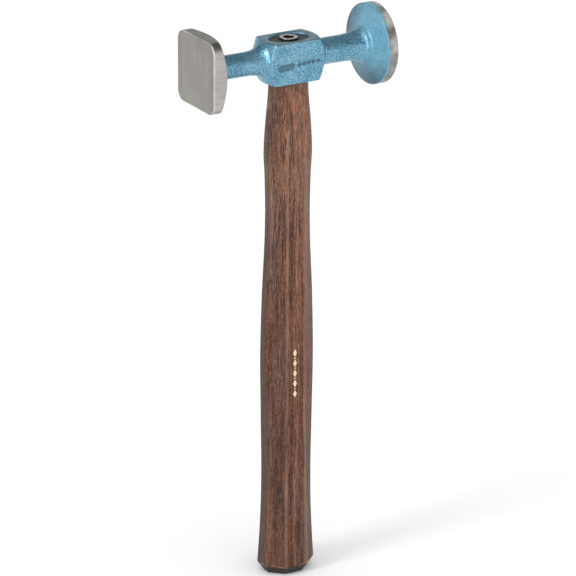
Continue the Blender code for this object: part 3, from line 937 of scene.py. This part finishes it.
def turned_steel():
    """Turned rim and face of the round end: fine rings about the head's axis, a scuffed matt
    stretch at the front upper part of the rim that also carries a painted highlight, and painted
    shade darkening the rim towards its underside. The blue paint laps over the rim in a ragged
    line, farthest at the top, with tarnish beside it."""
    material, shader, n = new_material("turned_steel")
    place = n.coordinates()
    x, y, z = n.axes(place)
    up = n.minus(z, AXIS_Z)
    rings = n.noise(n.vector(x, n.radius(y, up), 0.0), 2600.0, 3.0, 0.6)
    cloud = n.noise(place, 110.0, 3.0, 0.6)
    stain = n.noise(n.scaled(place, (1.0, 1.0, 1.0), (0.3, 0.1, 0.2)), 160.0, 4.0, 0.65)
    shade = n.weighted((rings, 0.45), (cloud, 0.55))
    color = n.ramp(n.span(shade, 0.32, 0.68), TURNED_RAMP)
    color = n.mix(n.span(stain, 0.52, 0.68, 0.0, 0.45), color, TURNED_STAIN)

    # Painted highlight on a scuffed stretch, and painted shade towards the underside, by the angle up
    # from the front
    turn = n.plus(n.math("ARCTAN2", up, n.times(y, -1.0)), n.span(cloud, 0.3, 0.7, -0.12, 0.12))
    on_rim = n.span(x, ROUND_REACH - 0.4 * MM, ROUND_REACH - 0.8 * MM)
    off_middle = n.unsigned(n.minus(turn, math.radians(SCUFF_HIGHLIGHT_ANGLE)))
    scuff_highlight = n.larger(n.span(off_middle, math.radians(20.0), math.radians(7.0)),
                       n.span(turn, math.radians(62.0), math.radians(80.0), 0.0, 0.7))
    scuff_highlight = n.times(scuff_highlight, on_rim, n.span(y, 2.0 * MM, 0.0))
    # Painted shade: the rim darkens towards its underside
    underside_shade = n.times(on_rim, n.span(turn, math.radians(5.0), math.radians(-35.0), 0.0, 0.7))
    color = n.mix(underside_shade, color, TURNED_UNDERSIDE_SHADE)
    color = n.mix(scuff_highlight, color, TURNED_SCUFF_HIGHLIGHT)

    # How far the paint laps over the rim
    climb = n.math("ARCTAN2", up, n.unsigned(y))
    lap = n.plus(n.span(climb, math.radians(35.0), math.radians(85.0), 0.9 * MM, 3.2 * MM),
                 n.span(climb, math.radians(-45.0), math.radians(-85.0), 0.0, 0.9 * MM),
                 n.span(n.noise(place, 700.0, 4.0, 0.65), 0.35, 0.65, -0.5 * MM, 0.5 * MM))
    past = n.minus(n.minus(x, ROUND_REACH - ROUND_LAND), lap)
    tarnish = n.times(n.span(past, 0.3 * MM, 1.1 * MM, 1.0, 0.0), n.span(stain, 0.40, 0.60, 0.1, 0.7))
    color = n.mix(tarnish, color, TARNISH)
    painted = n.span(past, -0.1 * MM, 0.1 * MM, 1.0, 0.0)
    n.put(shader.inputs["Base Color"], n.mix(painted, color, n.mix(cloud, LAP_DARK, LAP_LIGHT)))
    n.put(shader.inputs["Metallic"], n.times(n.span(scuff_highlight, 0.0, 1.0, 1.0, 0.25),
                                             n.span(painted, 0.0, 1.0, 1.0, 0.5)))
    n.put(shader.inputs["Roughness"], n.span(cloud, 0.35, 0.65, 0.30, 0.42))
    n.put(shader.inputs["Normal"], n.bump(rings, 0.03 * MM, 0.5))
    return material


def stained_hickory():
    """Red-brown stained hickory: long streaks, fine dark lines, rows of short dark pores, and warm,
    grey and pale patches. The facet edges carry rubbing and a painted highlight, the sides painted
    shade, and the butt and end grain are dark."""
    material, shader, n = new_material("stained_hickory")
    place = n.coordinates()
    x, y, z = n.axes(place)
    swayed = n.swayed(n.scaled(place, (1.0, 1.0, 0.25)), 45.0, 0.0035)
    streak = n.grain(swayed, 0.20, 950.0, 5.0, 0.68)
    wide = n.grain(swayed, 0.13, 330.0, 4.0, 0.6)
    band = n.noise(n.scaled(swayed, (1.0, 0.45, 0.05)), 170.0)
    fleck = n.grain(swayed, 0.35, 1700.0, 2.0, 0.6)
    tone = n.weighted((streak, 0.40), (wide, 0.33), (band, 0.27))
    color = n.ramp(n.span(tone, 0.36, 0.64), WOOD_RAMP)

    # Patches
    warm = n.noise(n.scaled(place, (1.0, 1.0, 0.3), (0.4, 0.2, 0.7)), 80.0, 3.0, 0.6)
    warm = n.times(n.span(warm, 0.48, 0.66, 0.0, 0.45), n.span(z, 0.17, 0.25, 0.1, 1.0))
    color = n.mix(warm, color, WOOD_WARM)
    grey = n.grain(place, 0.2, 75.0)
    color = n.mix(n.span(grey, 0.45, 0.66, 0.0, 0.58), color, WOOD_GREY)
    pale = n.grain(swayed, 0.14, 290.0, 3.0, 0.6)
    pale = n.times(n.span(pale, 0.58, 0.70, 0.0, 0.55), n.span(z, 0.15, 0.26, 0.15, 1.0))
    color = n.mix(pale, color, WOOD_PALE)

    # Pores and fine figure
    distance, random = n.cells(n.scaled(swayed, (1.0, 1.0, 0.20)), 1000.0)
    pore = n.times(n.span(distance, 0.22, 0.44, 1.0, 0.0), n.span(random, 0.50, 0.62),
                   n.span(band, 0.42, 0.58, 1.0, 0.35))
    color = n.mix(n.times(pore, 0.8), color, PORE_DARK)
    line = n.grain(swayed, 0.09, 1350.0, 3.0, 0.6)
    speck = n.grain(place, 0.35, 1300.0, 3.0, 0.65)
    figures = [  # noise, where it starts, where it is full, its strength there, its colour
        (line, 0.47, 0.39, 0.85, LINE_DARK),
        (speck, 0.47, 0.36, 0.60, SPECK_DARK),
        (speck, 0.54, 0.66, 0.34, SPECK_LIGHT),
        (fleck, 0.50, 0.75, 0.25, FLECK_LIGHT),
        (fleck, 0.48, 0.28, 0.52, FLECK_DARK),
    ]
    for noise, start, full, strength, tint in figures:
        color = n.mix(n.span(noise, start, full, 0.0, strength), color, tint)
    color = n.mix(1.0, color, n.ramp(n.span(z, 0.0, 0.3), HEIGHT_TINT), "MULTIPLY")

    # Painted highlight with rubbing on the facet edges, and painted shade on the sides
    turn = n.math("ARCTAN2", n.unsigned(y), n.unsigned(x))
    off_edge = n.unsigned(n.minus(turn, math.radians(FACET_EDGE_ANGLE)))
    rub_highlight = n.times(n.span(off_edge, math.radians(6.0), math.radians(1.0)), n.span(z, 0.288, 0.270),
                     n.span(n.grain(place, 0.4, 90.0, 3.0), 0.35, 0.65, 0.10, 0.65))
    color = n.mix(rub_highlight, color, WOOD_RUB_HIGHLIGHT)
    # Painted shade darkens the sides that face along X
    facing = n.axes(n.coordinates("Normal"))[0]
    side_shade = n.larger(n.span(facing, -0.65, -0.98, 0.0, 0.60), n.span(facing, 0.65, 0.98, 0.0, 0.26))
    color = n.mix(n.times(side_shade, n.span(z, 0.29, 0.27)), color, WOOD_SIDE_SHADE)

    # Butt and end grain
    ragged = n.noise(place, 420.0, 3.0, 0.6)
    edge = n.plus(z, n.span(ragged, 0.3, 0.7, -0.6 * MM, 0.6 * MM))
    chipped = n.times(n.span(edge, BUTT_CHAMFER_HEIGHT + 1.0 * MM, BUTT_CHAMFER_HEIGHT + 0.6 * MM),
                      n.span(n.noise(place, 130.0), 0.45, 0.6), 0.6)
    color = n.mix(chipped, color, WOOD_CHIPPED)
    butt = n.span(edge, BUTT_CHAMFER_HEIGHT + 0.1 * MM, BUTT_CHAMFER_HEIGHT - 0.2 * MM)
    color = n.mix(n.times(butt, 0.95), color, n.ramp(fleck, BUTT_RAMP))
    end_grain = n.span(z, WOOD_TOP - 2.2 * MM, WOOD_TOP - 1.9 * MM)
    color = n.mix(end_grain, color, n.ramp(n.noise(place, 1400.0, 3.0, 0.6), END_GRAIN_RAMP))

    n.put(shader.inputs["Base Color"], color)
    n.put(shader.inputs["Roughness"], n.plus(n.span(streak, 0.3, 0.7, 0.52, 0.42), n.times(pore, 0.25)))
    shader.inputs["Specular IOR Level"].default_value = 0.12
    shader.inputs["Coat Weight"].default_value = 0.05
    shader.inputs["Coat Roughness"].default_value = 0.28
    n.put(shader.inputs["Normal"], n.bump(n.minus(n.times(fleck, 0.35), pore), 0.08 * MM, 0.4))
    return material


def wedge_steel():
    """Darkened steel of the ring wedge, rubbed bright on its rim."""
    material, shader, n = new_material("wedge_steel", 1.0)
    place = n.coordinates()
    z = n.axes(place)[2]
    speck = n.noise(place, 1800.0, 3.0, 0.6)
    wear = n.plus(n.span(z, RING_TOP - 0.45 * MM, RING_TOP), n.span(speck, 0.3, 0.7, -0.25, 0.25))
    n.put(shader.inputs["Base Color"], n.ramp(wear, WEDGE_RAMP))
    n.put(shader.inputs["Roughness"], n.span(speck, 0.3, 0.7, 0.42, 0.26))
    n.put(shader.inputs["Normal"], n.bump(speck, 0.03 * MM, 0.3))
    return material


def gold_foil():
    """Pale gold foil, a little worn."""
    material, shader, n = new_material("gold_foil", 0.35)
    wear = n.noise(n.coordinates(), 1500.0, 3.0, 0.6)
    n.put(shader.inputs["Base Color"], n.ramp(wear, GOLD_RAMP))
    n.put(shader.inputs["Roughness"], n.span(wear, 0.3, 0.7, 0.5, 0.36))
    return material


def pale_floor():
    material, shader, _ = new_material("pale_floor")
    shader.inputs["Base Color"].default_value = (*FLOOR_COLOR, 1.0)
    shader.inputs["Roughness"].default_value = 0.9
    return material


# ---- stage, light and camera
def make_stage():
    mesh = bpy.data.meshes.new("floor")
    corners = [(-1, -1), (1, -1), (1, 1), (-1, 1)]
    mesh.from_pydata([(x * FLOOR_REACH, y * FLOOR_REACH, 0) for x, y in corners], [], [(0, 1, 2, 3)])
    add_piece("floor", mesh, pale_floor())


def sun(name, travel, energy, angle):
    data = bpy.data.lights.new(name, "SUN")
    data.energy = energy
    data.angle = math.radians(angle)
    light = bpy.data.objects.new(name, data)
    light.rotation_euler = Vector(travel).to_track_quat("-Z", "Y").to_euler()
    bpy.context.scene.collection.objects.link(light)
    return light


def make_light():
    """A studio that is bright near the horizon and darker overhead, and brighter towards +X and
    towards the front. The fill doesn't show in reflections; the strip and the glow show only there."""
    world = bpy.data.worlds.new("studio")
    world.use_nodes = True
    n = Nodes(world.node_tree)
    x, y, z = n.axes(n.coordinates("Generated"))
    by_height = n.ramp(z, [(height, (gray, gray, gray)) for height, gray in SKY_BY_HEIGHT])
    around = n.plus(n.minus(n.times(x, SKY_TO_RIGHT), n.times(y, SKY_TO_FRONT)), SKY_AROUND)
    background = world.node_tree.nodes["Background"]
    n.put(background.inputs["Color"], n.mix(1.0, by_height, n.vector(around, around, around), "MULTIPLY"))
    background.inputs["Strength"].default_value = SKY_STRENGTH
    bpy.context.scene.world = world
    sun("key", travel=(0.8, 0.1, -0.55), energy=0.95, angle=18.0)
    fill = sun("fill", travel=(0.05, 0.25, -1.0), energy=2.4, angle=120.0)
    fill.visible_glossy = False
    strip = sun("strip", travel=(0.883, 0.435, -0.173), energy=1.0, angle=40.0)
    strip.visible_diffuse = False
    glow = sun("glow", travel=(0.5, 0.3, -0.8), energy=0.95, angle=60.0)
    glow.visible_diffuse = False


def make_camera():
    azimuth, elevation = math.radians(CAMERA_AZIMUTH), math.radians(CAMERA_ELEVATION)
    back = Vector((math.sin(azimuth) * math.cos(elevation), -math.cos(azimuth) * math.cos(elevation),
                   math.sin(elevation)))
    data = bpy.data.cameras.new("camera")
    data.lens = CAMERA_LENS
    data.sensor_width = CAMERA_SENSOR
    data.clip_end = CAMERA_CLIP_END
    camera = bpy.data.objects.new("camera", data)
    turn = (-back).to_track_quat("-Z", "Y").to_matrix().to_4x4()
    roll = Matrix.Rotation(math.radians(CAMERA_ROLL), 4, "Z")
    camera.matrix_world = Matrix.Translation(CAMERA_AIM + back * CAMERA_DISTANCE) @ turn @ roll
    bpy.context.scene.collection.objects.link(camera)
    bpy.context.scene.camera = camera


def main():
    bpy.context.scene.view_settings.view_transform = "Standard"
    make_head(blue_hammertone(), ground_steel(), turned_steel())
    make_handle(stained_hickory())
    make_ring_wedge(wedge_steel())
    make_ornament(gold_foil())
    make_stage()
    make_light()
    make_camera()


main()
